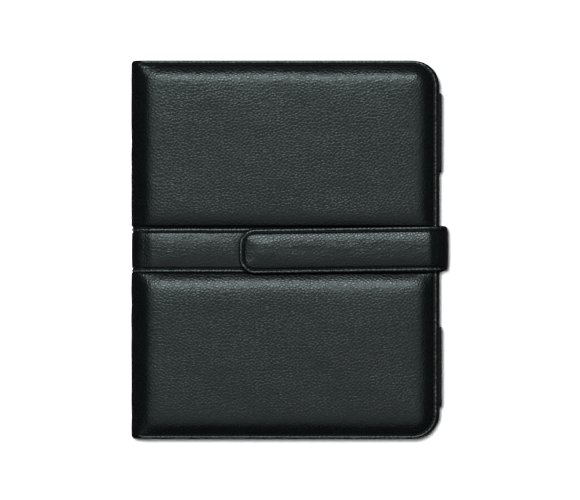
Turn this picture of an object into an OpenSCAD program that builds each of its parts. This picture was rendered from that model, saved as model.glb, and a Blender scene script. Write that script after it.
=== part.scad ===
// Portfolio case for a 9.7 inch tablet.
// Two padded leather covers and a soft rounded spine close like a book round a holder for the
// tablet. A band is sewn round the covers, and its free end folds over the fore edge as a strap
// that a magnetic snap holds on the front.
//
// The closed case lies on its back cover at z = 0. +X points to the fore edge, +Y to the top edge
// and +Z out through the front cover. The origin is the middle of the footprint, strap included.

/* [Tablet] */
// Height of the tablet that the holder takes
tablet_h = 243; // [238:1:244]
// Width of the tablet
tablet_w = 190; // [184:1:190]
// Thickness of the tablet
tablet_t = 13.4; // [12:0.1:14]
// Free play on each side of the tablet
tablet_play = 0.5; // [0.3:0.1:0.6]

/* [Covers] */
// Height of the covers
cover_h = 254; // [252:1:262]
// Width of the front cover from the outer face of the spine to the fore edge
cover_w = 205; // [204.5:0.1:206]
// How far the back cover stands past the front cover at the fore edge
back_proud = 2; // [1.6:0.1:2.4]
// Radius of the two corners at the fore edge
corner_r = 17; // [12:1:20]
// Radius of the spine's two long edges
spine_r = 8; // [7:0.5:9]
// Gap between the inside of the front cover and the holder
cover_gap = 0.6; // [0.5:0.1:1.5]

/* [Layers] */
// Thickness of the outer leather
leather_t = 1.1; // [0.9:0.1:1.2]
// Thickness of the boards that stiffen the covers
board_t = 1.5; // [1.2:0.1:2.5]
// Thickness of the lining and of the inside pockets
lining_t = 0.6; // [0.5:0.1:1]
// How far the padded panels rise above the stitched border
pad_rise = 3.2; // [2.8:0.1:4]

/* [Padded panels] */
// Border left flat along the top and bottom edges
pad_margin_y = 3.6; // [3:0.1:6]
// Border left flat along the fore edge
pad_margin_fore = 6; // [5:0.1:9]
// Start of the panels, from the outer face of the spine
pad_start = 9.4; // [9.2:0.1:12]
// Width of the channel between the two panels
channel_w = 33; // [32.5:0.1:38]
// Width of the slope round each panel
pad_slope = 8; // [7:0.5:10]

/* [Band and strap] */
// Width of the band and of the strap
band_w = 29.5; // [27:0.5:30]
// Thickness of the strap
strap_t = 2.5; // [2.3:0.1:3]
// How far the strap's fold stands past the front cover
strap_reach = 8; // [7.6:0.1:10]
// Length of the strap that lies on the front, from the fold to the tip
tab_len = 139.6; // [120:0.1:150]
// Radius of the two corners at the strap's tip
tip_r = 11; // [8:0.5:13]
// Radius of the strap's folds
fold_r = 7; // [6:0.5:8]
// Sideways shift of the strap at the fold
strap_shift = 1.3; // [0:0.1:1.5]
// Angle between the strap and the band, in degrees
strap_skew = 0.9; // [0:0.1:1]
// Distance of the snap from the strap's tip
snap_inset = 16.4; // [14:0.1:25]
// Diameter of the two halves of the snap
snap_d = 14; // [12:0.5:16]

/* [Holder] */
// Thickness of the holder's walls
wall_t = 1.6; // [1.4:0.1:1.8]
// Distance from the middle of the fore edge to each fore wall
fore_wall_start = 52; // [30:1:60]
// Length of each fore wall
fore_wall_len = 53; // [40:1:54]
// How far the holder's front frame reaches over the tablet on each side
bezel_reach = 8.5; // [6:0.5:12]
// Width of the slot for the tablet's charging plug
dock_w = 36; // [26:1:60]
// Height of the slot for the tablet's charging plug
dock_h = 8; // [5:0.5:9]

/* [Hidden] */

$fn = 64;
HULL_FN = 32;
EPS = 0.01;

leather_black = [0.17, 0.19, 0.19];
lining_grey = [0.28, 0.28, 0.29];
board_grey = [0.55, 0.52, 0.47];
foam_grey = [0.62, 0.62, 0.6];
steel = [0.7, 0.7, 0.68];

// plan
case_w = cover_w + strap_reach;
x_spine = -case_w / 2;
x_fore = x_spine + cover_w;
x_back_fore = x_fore + back_proud;
x_fold = case_w / 2;
half_h = cover_h / 2;
channel_half = channel_w / 2;
band_half = band_w / 2;
pad_end = x_fore - pad_margin_fore;

// levels, from the table up
z_back_face = pad_rise;
z_back_board = z_back_face + leather_t;
z_back_lining = z_back_board + board_t;
z_cavity = z_back_lining + lining_t;
cavity_t = tablet_t + tablet_play;
z_bezel = z_cavity + cavity_t;
bezel_t = leather_t;
z_bezel_top = z_bezel + bezel_t;
z_pocket = z_bezel_top + cover_gap;
z_front_lining = z_pocket + lining_t;
z_front_board = z_front_lining + lining_t;
z_front_leather = z_front_board + board_t;
z_front_face = z_front_leather + leather_t;
band_t = leather_t;
band_pad = 0.5;
z_band_top = z_front_face + band_t + band_pad;
strap_gap = 0.5;
z_strap = z_band_top + strap_gap;
z_strap_top = z_strap + strap_t;

// holder
x_wall = x_back_fore + 1.2;
cavity_w = tablet_w + 2 * tablet_play;
cavity_h = tablet_h + 2 * tablet_play;
x_cavity_fore = x_wall - wall_t;
x_cavity_spine = x_cavity_fore - cavity_w;
x_cavity_mid = (x_cavity_fore + x_cavity_spine) / 2;
wall_corner = 15;
bezel_outer_r = 12;
bezel_inner_r = 6;

// covers
board_inset = 4.5;
lining_inset = 0.4;
turned_edge_t = leather_t;
split_gap = 2;      // degrees left open on each side of a cover's fold line
arc_end = 45 - split_gap;
straight_gap = 0.6; // clear space between the boards of two bodies

// spine, in three stretches along Y: [from, to, how deep the leather lies under the band]
band_sink = 0.8;
SPINE_ZONES = [[-half_h, -channel_half, 0], [-channel_half, channel_half, band_sink],
               [channel_half, half_h, 0]];
z_arc_low = z_back_face + spine_r;
z_arc_high = z_front_face - spine_r;
spine_board_t = 1.2;
x_spine_board = x_spine + leather_t + band_t;
x_spine_lining = x_spine_board + spine_board_t;

// strap layers
strap_leather_t = leather_t;
strap_lining_t = 0.8;
strap_core_t = strap_t - strap_leather_t - strap_lining_t;
core_inset = 2.5;
fold_gap = 6;       // degrees left open on each side of the strap's fold lines
fold_end = 45 - fold_gap;
x_fold_centre = x_fold - fold_r;
z_fold_high = z_strap_top - fold_r;
z_fold_low = fold_r;
back_band_start = x_spine + spine_r + band_sink;

// snap
x_snap = x_fold - tab_len + snap_inset;
y_snap = strap_shift + (x_snap - x_fold) * sin(strap_skew);
snap_recess = 0.5;
socket_t = 0.9;
washer_t = 0.4;
washer_d = snap_d - 2;
rivet_r = 2.7;
pin_r = 1.8;
pin_bore_r = 2;
fit_gap = 0.1;

// inside pockets
pocket_x = x_spine + 20;
pocket_w = 170;
pocket_r = 5;
document_h = 138;
card_h = 62;
pocket_split = 2;
pocket_low = -half_h + 24;

// Runs a profile drawn in (x, z) along Y from y_from to y_to
module along_y(y_from, y_to) {
    translate([0, y_to, 0]) rotate([90, 0, 0]) linear_extrude(y_to - y_from) children();
}

// Sector of a ring with outer radius r and wall t, between two angles under 90 degrees apart
module ring_sector(r, t, a_from, a_to) {
    intersection() {
        difference() {
            circle(r = r);
            circle(r = r - t);
        }
        polygon([[0, 0], 2 * r * [cos(a_from), sin(a_from)], 2 * r * [cos(a_to), sin(a_to)]]);
    }
}

// Rectangle with four equal round corners, between two opposite corners
module round_rect(low, high, r) {
    size = high - low;
    translate(low + [r, 0]) square([size.x - 2 * r, size.y]);
    translate(low + [0, r]) square([size.x, size.y - 2 * r]);
    for (x = [low.x + r, high.x - r], y = [low.y + r, high.y - r]) translate([x, y]) circle(r = r);
}

// Outline of a cover from x_from to x_to: square at the spine, round at the fore edge
module cover_outline(x_from, x_to, inset = 0) {
    r = corner_r - inset;
    half = half_h - inset;
    end = x_to - inset;
    translate([x_from, -half]) square([end - r - x_from, 2 * half]);
    translate([x_from, r - half]) square([end - x_from, 2 * half - 2 * r]);
    for (side = [-1, 1]) translate([end - r, side * (half - r)]) circle(r = r);
}

// Flat plate in a cover's outline
module cover_plate(x_from, x_to, inset, z, t) {
    translate([0, 0, z]) linear_extrude(t) cover_outline(x_from, x_to, inset);
}

// Crowned panel on z = 0 with round slopes. side is 1 for the upper panel and -1 for the lower.
// skin is what the panel loses on every face, to leave room for the leather over it
module crowned_panel(side, skin = 0) {
    levels = [[0, 0], [0.12, 0.42], [0.45, 0.84], [1, 1]];
    y_near = channel_half + skin;
    y_far = half_h - pad_margin_y - skin;
    x_near = x_spine + pad_start + skin;
    x_far = pad_end - skin;
    rise = pad_rise - skin;
    slab = 0.1;
    hull() for (level = levels) {
        slope = level[0] * pad_slope;
        z = level[1] * (rise - slab);
        r = 3 + slope / 2;
        far_r = max(corner_r - pad_margin_fore - skin - slope, 1);
        translate([x_near + slope + r, side * (y_near + slope + r), z])
            cylinder(r = r, h = slab, $fn = HULL_FN);
        translate([x_near + slope + r, side * (y_far - slope - r), z])
            cylinder(r = r, h = slab, $fn = HULL_FN);
        translate([x_far - slope - r, side * (y_near + slope + r), z])
            cylinder(r = r, h = slab, $fn = HULL_FN);
        translate([x_far - slope - far_r, side * (y_far - slope - far_r), z])
            cylinder(r = far_r, h = slab, $fn = HULL_FN);
    }
}

// Leather of one cover, lying face up on z = 0: the sheet, the edge turned in under it as deep as
// depth, and the two hollow panels that hold the foam
module cover_leather(x_to, depth) {
    difference() {
        union() {
            translate([0, 0, -leather_t]) linear_extrude(leather_t) difference() {
                cover_outline(x_spine + spine_r, x_to);
                translate([x_spine + spine_r - EPS, -channel_half])
                    square([band_sink + EPS, channel_w]);
            }
            translate([0, 0, -leather_t - depth]) linear_extrude(depth) difference() {
                cover_outline(x_spine + spine_r + straight_gap, x_to);
                cover_outline(x_spine + spine_r, x_to, turned_edge_t);
            }
            for (side = [-1, 1]) crowned_panel(side);
        }
        for (side = [-1, 1]) translate([0, 0, -leather_t - EPS]) crowned_panel(side, leather_t);
    }
}

// Part of the outer leather that bends round one edge of the spine, between two angles. It lies
// deeper behind the band
module leather_bend(z_centre, a_from, a_to) {
    for (zone = SPINE_ZONES)
        along_y(zone[0], zone[1]) translate([x_spine + spine_r + zone[2], z_centre])
            ring_sector(spine_r, leather_t, a_from, a_to);
}

// Part of the band that bends round one edge of the spine
module band_bend(z_centre, a_from, a_to) {
    along_y(-band_half, band_half) translate([x_spine + spine_r + band_sink, z_centre])
        ring_sector(spine_r + band_sink, band_sink, a_from, a_to);
}

// One padded panel's foam, for a cover that lies face up on z = 0
module panel_foam(side) {
    foam_clearance = 0.05;
    translate([0, 0, -leather_t]) crowned_panel(side, leather_t + foam_clearance);
}

// Turns a cover's part face down on the back of the case
module face_down() {
    translate([0, 0, z_back_face]) mirror([0, 0, 1]) children();
}

// Lays a cover's part face up on the front of the case
module face_up() {
    translate([0, 0, z_front_face]) children();
}

// Turns the strap's free part about its fold
module strap_angle() {
    translate([x_fold, strap_shift, 0]) rotate([0, 0, strap_skew]) translate([-x_fold, 0, 0])
        children();
}

// Free part of one strap layer: from the fold to the tip, with the layer's outer face at z_outer
module tab_layer(z_outer, t, inset, x_to) {
    x_tip = x_fold - tab_len + inset;
    r = tip_r - inset;
    half = band_half - inset;
    translate([0, 0, z_outer - t]) linear_extrude(t) {
        translate([x_tip + r, -half]) square([x_to - x_tip - r, 2 * half]);
        translate([x_tip, r - half]) square([x_to - x_tip, 2 * half - 2 * r]);
        for (side = [-1, 1]) translate([x_tip + r, side * (half - r)]) circle(r = r);
    }
}

// Upper fold of one strap layer that lies depth below the strap's outer face
module tab_fold(depth, t) {
    along_y(-band_half, band_half) translate([x_fold_centre, z_fold_high])
        ring_sector(fold_r - depth, t, 45 + fold_gap, 90);
}

// Strap layer on the fore edge, between its two folds
module edge_layer(depth, t) {
    along_y(strap_shift - band_half, strap_shift + band_half) {
        translate([x_fold_centre, z_fold_high]) ring_sector(fold_r - depth, t, 0, fold_end);
        translate([x_fold_centre, z_fold_low]) ring_sector(fold_r - depth, t, -fold_end, 0);
        translate([x_fold - depth - t, z_fold_low]) square([t, z_fold_high - z_fold_low]);
    }
}

// Round disc or hole of the snap, on the strap's axis
module snap_round(r, z, t) {
    translate([x_snap, y_snap, z]) cylinder(r = r, h = t);
}

module back_leather() {
    color(leather_black) {
        face_down() cover_leather(x_back_fore, board_t);
        leather_bend(z_arc_low, 225 + split_gap, 270);
    }
}

module back_foam_upper() {
    color(foam_grey) face_down() panel_foam(1);
}

module back_foam_lower() {
    color(foam_grey) face_down() panel_foam(-1);
}

module back_board() {
    x_from = x_spine + spine_r + band_sink + straight_gap;
    color(board_grey) cover_plate(x_from, x_back_fore, board_inset, z_back_board, board_t);
}

module back_lining() {
    x_from = x_spine + spine_r + straight_gap;
    color(lining_grey) cover_plate(x_from, x_back_fore, lining_inset, z_back_lining, lining_t);
}

// The band on the back is as deep as the panels, so the case rests on all three
module back_band() {
    color(leather_black) {
        translate([back_band_start, -band_half, 0])
            cube([x_fold_centre - back_band_start, band_w, z_back_face]);
        band_bend(z_arc_low, 225 + split_gap, 270);
        along_y(-band_half, band_half) translate([x_fold_centre, z_fold_low])
            ring_sector(fold_r, strap_t, -90, -45 - fold_gap);
    }
}

// Wall along the tablet's top or bottom edge
module end_wall(side) {
    y = cavity_h / 2;
    translate([x_cavity_spine, side > 0 ? y : -y - wall_t, z_cavity])
        cube([cavity_w - wall_corner, wall_t, z_bezel_top - z_cavity]);
}

// Wall along the tablet's fore edge, above or below the strap
module fore_wall(side) {
    end_r = 2.5;
    y_from = side > 0 ? fore_wall_start : -fore_wall_start - fore_wall_len;
    height = z_bezel_top - z_cavity;
    translate([x_cavity_fore, y_from, z_cavity]) rotate([90, 0, 90]) linear_extrude(wall_t)
        round_rect([0, 0], [fore_wall_len, height], end_r);
}

module holder_wall_top() {
    color(leather_black) end_wall(1);
}

module holder_wall_bottom() {
    z_dock = z_cavity + (cavity_t - dock_h) / 2;
    color(leather_black) difference() {
        end_wall(-1);
        translate([x_cavity_mid - dock_w / 2, -cavity_h / 2 - wall_t - 1, z_dock])
            cube([dock_w, wall_t + 2, dock_h]);
    }
}

module fore_wall_upper() {
    color(leather_black) fore_wall(1);
}

module fore_wall_lower() {
    color(leather_black) fore_wall(-1);
}

module holder_bezel() {
    reach = [bezel_reach, bezel_reach];
    low = [x_cavity_spine, -cavity_h / 2];
    high = [x_cavity_fore, cavity_h / 2];
    color(leather_black) translate([0, 0, z_bezel]) linear_extrude(bezel_t) difference() {
        round_rect(low, high, bezel_outer_r);
        round_rect(low + reach, high - reach, bezel_inner_r);
    }
}

module spine_leather() {
    color(leather_black) {
        leather_bend(z_arc_low, 180, 225 - split_gap);
        leather_bend(z_arc_high, 135 + split_gap, 180);
        for (zone = SPINE_ZONES)
            translate([x_spine + zone[2], zone[0], z_arc_low])
                cube([leather_t, zone[1] - zone[0], z_arc_high - z_arc_low]);
    }
}

module spine_board() {
    color(board_grey) translate([x_spine_board, board_inset - half_h, z_arc_low - 1])
        cube([spine_board_t, cover_h - 2 * board_inset, z_arc_high - z_arc_low + 2]);
}

module spine_lining() {
    color(lining_grey) translate([x_spine_lining, lining_inset - half_h, z_arc_low - 2])
        cube([lining_t, cover_h - 2 * lining_inset, z_arc_high - z_arc_low + 4]);
}

module spine_band() {
    color(leather_black) {
        band_bend(z_arc_low, 180, 225 - split_gap);
        band_bend(z_arc_high, 135 + split_gap, 180);
        translate([x_spine, -band_half, z_arc_low])
            cube([band_sink, band_w, z_arc_high - z_arc_low]);
    }
}

module front_leather() {
    color(leather_black) {
        face_up() cover_leather(x_fore, board_t);
        leather_bend(z_arc_high, 90, 135 - split_gap);
    }
}

module front_foam_upper() {
    color(foam_grey) face_up() panel_foam(1);
}

module front_foam_lower() {
    color(foam_grey) face_up() panel_foam(-1);
}

module front_board() {
    x_from = x_spine + spine_r + band_sink + straight_gap;
    color(board_grey) cover_plate(x_from, x_fore, board_inset, z_front_board, board_t);
}

module front_lining() {
    x_from = x_spine + spine_r + straight_gap;
    color(lining_grey) cover_plate(x_from, x_fore, lining_inset, z_front_lining, lining_t);
}

module document_pocket() {
    low = [pocket_x, pocket_low];
    color(leather_black) translate([0, 0, z_pocket]) linear_extrude(lining_t)
        round_rect(low, low + [pocket_w, document_h], pocket_r);
}

module card_pocket() {
    low = [pocket_x, pocket_low + document_h + pocket_split];
    color(leather_black) translate([0, 0, z_pocket]) linear_extrude(lining_t)
        round_rect(low, low + [pocket_w, card_h], pocket_r);
}

module front_band() {
    end = x_fore - 1;
    socket_r = snap_d / 2 + fit_gap;
    color(leather_black) difference() {
        union() {
            translate([back_band_start, -band_half, z_front_face])
                cube([end - back_band_start, band_w, band_t + band_pad]);
            band_bend(z_arc_high, 90, 135 - split_gap);
        }
        snap_round(socket_r, z_band_top - snap_recess, snap_recess + 1);
        snap_round(washer_d / 2 + fit_gap, z_front_face - 1, washer_t + 1);
        snap_round(rivet_r + fit_gap, z_front_face - 1, band_t + 3);
    }
}

module snap_socket() {
    z_disc = z_band_top - snap_recess;
    color(steel) difference() {
        union() {
            snap_round(snap_d / 2, z_disc, socket_t);
            snap_round(rivet_r, z_front_face + washer_t, z_disc - z_front_face - washer_t + EPS);
        }
        snap_round(pin_bore_r, z_front_face, z_band_top);
    }
}

module socket_washer() {
    color(steel) difference() {
        snap_round(washer_d / 2, z_front_face, washer_t);
        snap_round(pin_bore_r, z_front_face - 1, washer_t + 2);
    }
}

module strap_edge_leather() {
    color(leather_black) edge_layer(0, strap_leather_t);
}

module strap_edge_lining() {
    color(lining_grey) edge_layer(strap_leather_t, strap_t - strap_leather_t);
}

module strap_tab_leather() {
    color(leather_black) strap_angle() {
        tab_layer(z_strap_top, strap_leather_t, 0, x_fold_centre);
        tab_fold(0, strap_leather_t);
    }
}

module strap_tab_lining() {
    z_outer = z_strap + strap_lining_t;
    color(lining_grey) difference() {
        strap_angle() {
            tab_layer(z_outer, strap_lining_t, 0, x_fold_centre);
            tab_fold(strap_leather_t + strap_core_t, strap_lining_t);
        }
        snap_round(snap_d / 2 + fit_gap, z_strap - 1, strap_lining_t + 2);
    }
}

module strap_stiffener() {
    z_outer = z_strap_top - strap_leather_t;
    color(board_grey) difference() {
        strap_angle() tab_layer(z_outer, strap_core_t, core_inset, x_fold_centre);
        snap_round(washer_d / 2 + fit_gap, z_strap, strap_t);
    }
}

module snap_stud() {
    pin_len = 1.8;
    color(steel) {
        snap_round(snap_d / 2, z_strap, strap_lining_t);
        snap_round(pin_r, z_strap - pin_len, pin_len + EPS);
    }
}

module stud_washer() {
    color(steel) snap_round(washer_d / 2, z_strap + strap_lining_t, washer_t);
}

back_leather();
back_foam_upper();
back_foam_lower();
back_board();
back_lining();
back_band();
holder_wall_top();
holder_wall_bottom();
fore_wall_upper();
fore_wall_lower();
holder_bezel();
spine_leather();
spine_board();
spine_lining();
spine_band();
front_leather();
front_foam_upper();
front_foam_lower();
front_board();
front_lining();
document_pocket();
card_pocket();
front_band();
snap_socket();
socket_washer();
strap_edge_leather();
strap_edge_lining();
strap_tab_leather();
strap_tab_lining();
strap_stiffener();
snap_stud();
stud_washer();
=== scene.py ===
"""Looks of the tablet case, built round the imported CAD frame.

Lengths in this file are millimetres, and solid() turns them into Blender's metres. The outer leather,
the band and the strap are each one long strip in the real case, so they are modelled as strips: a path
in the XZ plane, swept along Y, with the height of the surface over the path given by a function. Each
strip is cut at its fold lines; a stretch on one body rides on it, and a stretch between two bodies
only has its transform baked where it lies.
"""

import math

import bmesh
import bpy
import numpy as np
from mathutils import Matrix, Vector


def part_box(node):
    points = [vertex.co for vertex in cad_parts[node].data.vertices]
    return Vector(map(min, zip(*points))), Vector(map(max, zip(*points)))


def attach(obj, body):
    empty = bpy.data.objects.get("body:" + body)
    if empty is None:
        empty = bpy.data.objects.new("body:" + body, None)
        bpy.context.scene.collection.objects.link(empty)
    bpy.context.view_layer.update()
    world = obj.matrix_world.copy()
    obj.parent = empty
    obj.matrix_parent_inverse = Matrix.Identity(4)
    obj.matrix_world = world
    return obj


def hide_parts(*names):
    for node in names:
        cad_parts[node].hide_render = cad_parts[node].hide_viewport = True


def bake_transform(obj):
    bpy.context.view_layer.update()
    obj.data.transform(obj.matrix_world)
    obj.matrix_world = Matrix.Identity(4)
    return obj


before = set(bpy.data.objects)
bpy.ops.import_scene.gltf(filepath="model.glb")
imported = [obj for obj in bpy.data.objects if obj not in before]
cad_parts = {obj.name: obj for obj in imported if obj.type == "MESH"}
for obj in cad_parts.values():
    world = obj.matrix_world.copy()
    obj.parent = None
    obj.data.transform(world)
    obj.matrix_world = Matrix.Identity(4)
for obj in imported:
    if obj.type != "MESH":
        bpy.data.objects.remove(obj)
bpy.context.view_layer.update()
MM = 0.001


def box_mm(node):
    low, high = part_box(node)
    return [v / MM for v in low], [v / MM for v in high]


# ---------------- sizes
LEATHER_T = 1.1
TURNED_DEPTH = 2.6      # leather and board, which the turned edge covers
SPINE_HEM = 3.4         # the same on the spine
SPINE_R = 8.0
CORNER_R = 17.0
PAD_EDGE = 2.7          # from a cover's edge to the foot of the panels
PAD_SHOULDER = 6.6      # width of the panels' steep sides
ROLL = 9.0              # how far the padding runs into the spine's fold
CHANNEL_HALF = 15.5     # where the panels' leather comes up beside the band
BAND_SINK = 0.95
FOLD_R = 7.0
STRAP_LEATHER = 1.7     # leather and core of the strap
STRAP_T = 2.5
TIP_R = 11.0
STRAP_SKEW = math.radians(0.9)
STRAP_SLOPE = 0.40      # slope of the strap past the band's end
ROLL_R = 11.3           # radius and start of its roll down the fore edge
ROLL_DROP = 12.5
DRAW_IN = 0.6           # how far the strap is drawn in at the fore edge
STITCH_PITCH = 3.0
RIM_DROP = 0.55
GROOVE_AT = 2.55        # distance of the stitches from the edge
BAND_SHIFT = -0.45      # how far the band was sewn off the middle
TAB_WIDER = 0.1         # how far the strap's padding spreads its tab on each side
TAB_LONGER = 1.0
TAPE_LAP = 3.5          # how far the tapes inside the folds lap over the linings
GRID = 1.5              # mesh spacing on the covers
TAB_GRID = 1.03
BAND_WIDER = 0.15       # how far the band spreads on each side
FRONT_LONGER = 0.4      # how far the front's turned edge stands past the plain cover
STRAP_BACK = 0.4        # how far the strap's sideways shift falls short
LINING_IN = 0.3         # how far the strap's lining stays inside its edge
RIM_END = 2.1           # where the rim ends and the groove starts
STITCH_LEN = 2.1
THREAD_R = 0.27
STITCH_SUNK = 0.62
STITCH_NEAR = 0.4       # how far beside a stitch its direction is read
SCATTER = 0.68          # how irregular the leather's pebbles are
GRAIN_TURN = 0.6        # how far the grain is turned off the edges, in radians

front_high = box_mm("front_leather")[1]
X_SPINE = box_mm("spine_leather")[0][0]
X_FORE = front_high[0]
X_BACK_FORE = box_mm("back_leather")[1][0]
HALF_H = front_high[1]
Z_BACK_FACE = box_mm("back_board")[0][2] - LEATHER_T
Z_FRONT_FACE = box_mm("front_board")[1][2] + LEATHER_T
PAD_RISE = front_high[2] - Z_FRONT_FACE
BAND_HALF = box_mm("front_band")[1][1] + BAND_WIDER
X_BAND_END = box_mm("front_band")[1][0]
X_FOLD = box_mm("strap_edge_leather")[1][0]
STRAP_SHIFT = box_mm("strap_edge_leather")[1][1] - BAND_HALF + BAND_WIDER
Z_STRAP_TOP = box_mm("strap_tab_leather")[1][2]
X_TIP = box_mm("strap_tab_leather")[0][0]
X_SNAP = sum(v[0] for v in box_mm("snap_socket")) / 2
Y_SNAP = sum(v[1] for v in box_mm("snap_socket")) / 2

X_ARC = X_SPINE + SPINE_R
Z_ARC_HIGH = Z_FRONT_FACE - SPINE_R
Z_ARC_LOW = Z_BACK_FACE + SPINE_R
FOLD_LEN = math.pi / 2 * SPINE_R
SPINE_LEN = Z_ARC_HIGH - Z_ARC_LOW
SPINE_FROM = -FOLD_LEN - SPINE_LEN
WRAP_END = -2 * FOLD_LEN - SPINE_LEN
FRONT_LEN = X_FORE - X_ARC + FRONT_LONGER
BACK_LEN = X_BACK_FORE - X_ARC

X_STRAP_ARC = X_FOLD - FOLD_R
STRAP_FOLD = math.pi / 2 * FOLD_R
STRAP_RISE = Z_STRAP_TOP - 2 * FOLD_R
STRAP_LOW = -STRAP_FOLD - STRAP_RISE
STRAP_START = -2 * STRAP_FOLD - STRAP_RISE
TAB_LEN = X_STRAP_ARC - X_TIP + TAB_LONGER
TAB_HALF = BAND_HALF + TAB_WIDER


# ---------------- small helpers
def smooth(t):
    t = np.clip(t, 0, 1)
    return t * t * (3 - 2 * t)


def waves(x, y, length, seed, count=7):
    """Gentle irregular waves of about the given length, between about -1 and 1"""
    rng = np.random.default_rng(seed)
    total = np.zeros(np.broadcast(x, y).shape)
    for _ in range(count):
        angle = rng.uniform(0, 2 * np.pi)
        phase = rng.uniform(0, 2 * np.pi)
        k = 2 * np.pi / (length * rng.uniform(0.7, 1.5))
        total += np.sin(k * (x * np.cos(angle) + y * np.sin(angle)) + phase)
    return total / math.sqrt(count)


def solid(name, points, faces, material, grain=None, seam=0.0, rim=0.0, caps=0):
    """A smooth-shaded closed solid from points in millimetres. grain is each point's place on the
    unrolled material; seam says how much painted shade a point gets, in a stitch groove, in the crease
    beside the band and round the strap's tab; rim says how far a point lies on a turned edge's rim,
    which the leather paints lighter, partly as wear and partly as a painted highlight. The last faces,
    as many as caps, are cut faces with sharp edges"""
    points = np.asarray(points, float)
    mesh = bpy.data.meshes.new(name)
    mesh.from_pydata((points * MM).tolist(), [], faces)
    work = bmesh.new()
    work.from_mesh(mesh)
    bmesh.ops.recalc_face_normals(work, faces=work.faces)
    work.faces.ensure_lookup_table()
    for face in work.faces[len(faces) - caps:]:
        for edge in face.edges:
            edge.smooth = False
    work.to_mesh(mesh)
    work.free()
    mesh.shade_smooth()
    attribute = mesh.attributes.new("grain_mm", "FLOAT_VECTOR", "POINT")
    values = points if grain is None else np.asarray(grain)
    attribute.data.foreach_set("vector", values.astype(np.float32).ravel())
    for label, given in (("seam", seam), ("rim", rim)):
        attribute = mesh.attributes.new(label, "FLOAT", "POINT")
        values = np.broadcast_to(given, len(points))
        attribute.data.foreach_set("value", values.astype(np.float32))
    mesh.materials.append(material)
    piece = bpy.data.objects.new(name, mesh)
    bpy.context.scene.collection.objects.link(piece)
    return piece


def over_path(path, s, y, height, offset=None):
    """Points at (s, y) on the unrolled strip, height over its path, and their grain places"""
    x, z, nx, nz = path(s)
    aside = 0 if offset is None else offset(s)
    points = np.stack([x + nx * height, y + 0 * x + aside, z + nz * height], axis=-1)
    grain = np.stack([s + 0 * x, y + 0 * x, height + 0 * x], axis=-1)
    return points.reshape(-1, 3), grain.reshape(-1, 3)


# ---------------- paths
def fold_path(s, x_arc, side, z_top, z_low, r):
    """Points (x, z) and outward normals of a strip that lies on top, turns down on the given side
    in two folds of radius r, and runs back underneath. s is the distance along it: 0 where the
    upper fold ends at x_arc, positive on top, negative past it"""
    s = np.asarray(s, float)
    fold, rise = math.pi / 2 * r, z_top - z_low - 2 * r
    high, low = -s / r, (-s - fold - rise) / r
    end = -2 * fold - rise
    where = [s >= 0, s >= -fold, s >= -fold - rise, s >= end]
    x = np.select(where, [x_arc - side * s, x_arc + side * r * np.sin(high),
                          x_arc + side * r + 0 * s, x_arc + side * r * np.cos(low)],
                  x_arc + side * (s - end))
    z = np.select(where, [z_top + 0 * s, z_top - r + r * np.cos(high), z_top - r + s + fold,
                          z_low + r - r * np.sin(low)], z_low)
    nx = np.select(where, [0 * s, side * np.sin(high), side + 0 * s, side * np.cos(low)], 0.0)
    nz = np.select(where, [1 + 0 * s, np.cos(high), 0 * s, -np.sin(low)], -1.0)
    return x, z, nx, nz


def wrap_path(s):
    """The outside of the case: the front cover, the spine and the back cover"""
    return fold_path(s, X_ARC, -1, Z_FRONT_FACE, Z_BACK_FACE, SPINE_R)


def strap_path(s):
    """The strap: its tab, the fore edge and its run under the case"""
    return fold_path(s, X_STRAP_ARC, 1, Z_STRAP_TOP, 0.0, FOLD_R)


def strap_offset(s):
    """How far the strap's middle is off the case's middle: it shifts in the lower fold, and the
    tab lies a little askew"""
    x = strap_path(s)[0]
    settled = smooth((s - STRAP_START) / STRAP_FOLD)
    on_top = np.where(s > -STRAP_FOLD - STRAP_RISE / 2, (x - X_FOLD) * math.tan(STRAP_SKEW), 0.0)
    return (STRAP_SHIFT - STRAP_BACK) * settled + on_top


# ---------------- surface heights
def rim_profile(e, along):
    """Height of a turned and stitched edge at distance e inside it: a rounded rim that the
    stitches pull down once every pitch, and the sharp groove that they lie in"""
    pull = (0.5 + 0.5 * np.cos(2 * np.pi * along / STITCH_PITCH)) ** 3
    across = np.abs(e - 1.3) / np.where(e > 1.3, 0.8, 1.3)
    bead = 0.12 - 0.14 * pull - (RIM_DROP + 0.12) * across ** 2.8
    rise = np.interp(e, [1.9, RIM_END, GROOVE_AT, 3.4], [0, -RIM_DROP, -0.95, 0.0])
    return np.where(e < RIM_END, bead, rise)


# painted shade in the stitch groove, strongest at the groove's middle
def groove_shade_share(e):
    return np.exp(-((e - GROOVE_AT) / 0.5) ** 2)


def rim_share(e):
    return smooth((RIM_END - e) / 0.35) * smooth((e - 0.35) / 0.4)


def panel_distance(u, y, length):
    """Distance inside the far outline of the padded panel at (u, y): its top, bottom and fore
    sides. The side at the spine has no outline, because the padding rolls over it"""
    r = CORNER_R - PAD_EDGE
    qu = u - (length - PAD_EDGE) + r
    qy = np.abs(y) - (HALF_H - PAD_EDGE) + r
    return r - np.hypot(np.maximum(qu, 0), np.maximum(qy, 0)) - np.minimum(np.maximum(qu, qy), 0)


def band_side_share(y):
    """How full a panel is beside the band: the leather steps up out of the crease, and then
    rounds over, more slowly on the lower panel"""
    d = np.abs(y) - CHANNEL_HALF
    short = np.where(y > 0, 0.41 * (1 - np.tanh(d / 5.0)), 0.85 * (1 - np.tanh(d / 7.5)))
    return (1 - short) * smooth((d + 0.2) / 0.9)


def roll_share(u):
    """How full the panel is at u, where it rolls over into the fold at the spine"""
    return np.where(u > 0, 1 - 0.61 * np.exp(-np.maximum(u, 0) / 4.5),
                    0.39 * np.clip((u + ROLL) / ROLL, 0, 1) ** 3.1)


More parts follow.
